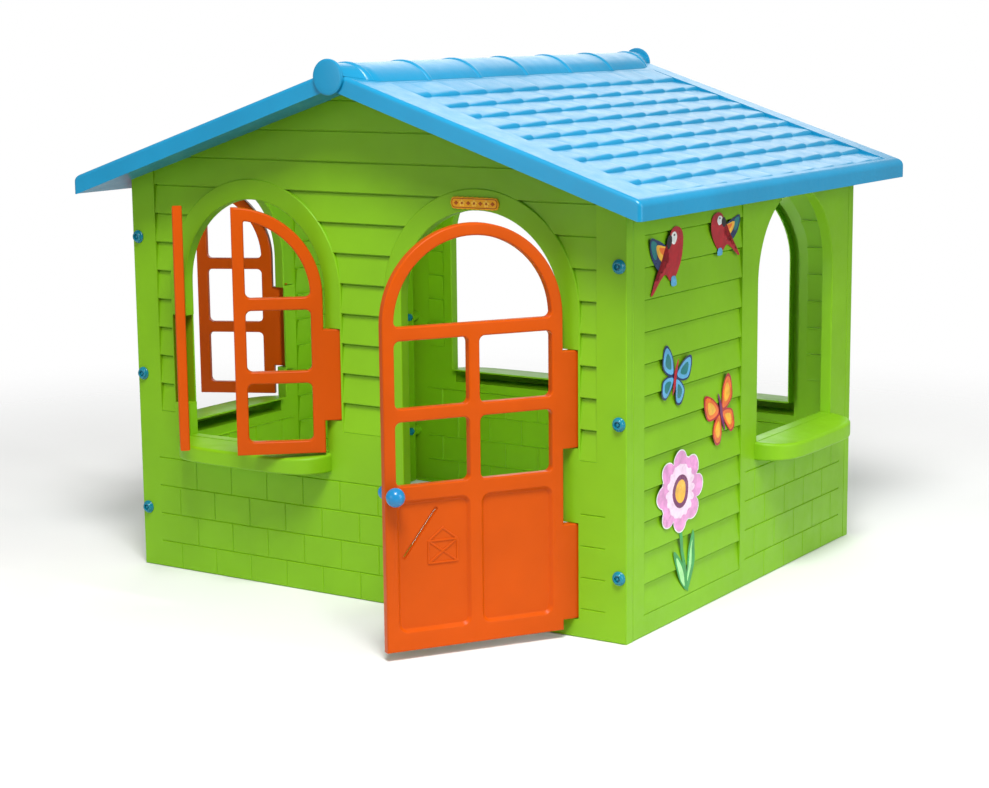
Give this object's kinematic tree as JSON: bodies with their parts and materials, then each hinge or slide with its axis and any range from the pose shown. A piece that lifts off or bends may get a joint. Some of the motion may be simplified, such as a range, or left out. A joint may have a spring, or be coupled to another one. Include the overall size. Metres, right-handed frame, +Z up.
{
  "type": "plastic playhouse",
  "caption": "Garden playhouse of moulded plastic panels with a tiled gable roof, arched windows, hinged shutters and a hinged door with a knob.",
  "frame": {"origin": "middle of the whole part's box at ground level, with the door and shutters open as at rest", "axes": "+Z up, -Y towards the door side, +X to the right as seen from in front of the door"},
  "size_m": [1.6128, 1.6038, 1.2],
  "materials": {
    "green_plastic": "satin, blow-moulded",
    "blue_plastic": "satin, blow-moulded",
    "orange_plastic": "satin, blow-moulded",
    "fastener_plastic": "gloss, injection-moulded",
    "knob_plastic": "gloss, injection-moulded",
    "sign_plate": "printed plate",
    "sticker_bird_large": "printed vinyl",
    "sticker_bird_small": "printed vinyl",
    "sticker_butterfly_blue": "printed vinyl",
    "sticker_butterfly_orange": "printed vinyl",
    "sticker_flower": "printed vinyl"
  },
  "bodies": {
    "house": {"front_wall": "green_plastic", "back_wall": "green_plastic", "left_wall": "green_plastic", "right_wall": "green_plastic", "roof_panel_left": "blue_plastic", "roof_panel_right": "blue_plastic", "ridge_cap": "blue_plastic", "door_sign": "sign_plate", "sticker_bird_large": "sticker_bird_large", "sticker_bird_small": "sticker_bird_small", "sticker_butterfly_blue": "sticker_butterfly_blue", "sticker_butterfly_orange": "sticker_butterfly_orange", "sticker_flower": "sticker_flower", "corner_bolt_front_left_top": "fastener_plastic", "corner_bolt_front_left_middle": "fastener_plastic", "corner_bolt_front_left_bottom": "fastener_plastic", "corner_bolt_front_right_top": "fastener_plastic", "corner_bolt_front_right_middle": "fastener_plastic", "corner_bolt_front_right_bottom": "fastener_plastic", "corner_bolt_back_left_top": "fastener_plastic", "corner_bolt_back_left_middle": "fastener_plastic", "corner_bolt_back_left_bottom": "fastener_plastic", "corner_bolt_back_right_top": "fastener_plastic", "corner_bolt_back_right_middle": "fastener_plastic", "corner_bolt_back_right_bottom": "fastener_plastic", "corner_nut_front_left_top": "fastener_plastic", "corner_nut_front_left_middle": "fastener_plastic", "corner_nut_front_left_bottom": "fastener_plastic", "corner_nut_front_right_top": "fastener_plastic", "corner_nut_front_right_middle": "fastener_plastic", "corner_nut_front_right_bottom": "fastener_plastic", "corner_nut_back_left_top": "fastener_plastic", "corner_nut_back_left_middle": "fastener_plastic", "corner_nut_back_left_bottom": "fastener_plastic", "corner_nut_back_right_top": "fastener_plastic", "corner_nut_back_right_middle": "fastener_plastic", "corner_nut_back_right_bottom": "fastener_plastic"},
    "door": {"door_leaf": "orange_plastic"},
    "door_knob": {"door_knob_outer": "knob_plastic", "door_knob_inner": "knob_plastic"},
    "front_left_shutter": {"front_shutter_left": "orange_plastic"},
    "front_right_shutter": {"front_shutter_right": "orange_plastic"},
    "side_rear_shutter": {"side_shutter_rear": "orange_plastic"},
    "side_front_shutter": {"side_shutter_front": "orange_plastic"}
  },
  "joints": [
    {"name": "door_swing", "type": "hinge", "parent": "house", "child": "door", "pos_m": [0.59244, -0.4154, 0.3], "axis": [0, 0, 1], "range_deg": [-57, 33]},
    {"name": "door_knob_turn", "type": "hinge", "parent": "door", "child": "door_knob", "pos_m": [0.36614, -0.76387, 0.345], "axis": [0.8387, -0.5446, 0], "continuous": true},
    {"name": "front_shutter_left_swing", "type": "hinge", "parent": "house", "child": "front_left_shutter", "pos_m": [-0.47956, -0.4154, 0.5], "axis": [0, 0, -1], "range_deg": [-48, 42]},
    {"name": "front_shutter_right_swing", "type": "hinge", "parent": "house", "child": "front_right_shutter", "pos_m": [-0.01756, -0.4154, 0.5], "axis": [0, 0, 1], "range_deg": [-40, 50]},
    {"name": "side_shutter_rear_swing", "type": "hinge", "parent": "house", "child": "side_rear_shutter", "pos_m": [-0.59456, 0.1226, 0.5], "axis": [0, 0, -1], "range_deg": [-64.5, 25.5]},
    {"name": "side_shutter_front_swing", "type": "hinge", "parent": "house", "child": "side_front_shutter", "pos_m": [-0.59456, -0.3394, 0.5], "axis": [0, 0, 1], "range_deg": [-55, 35]}
  ]
}
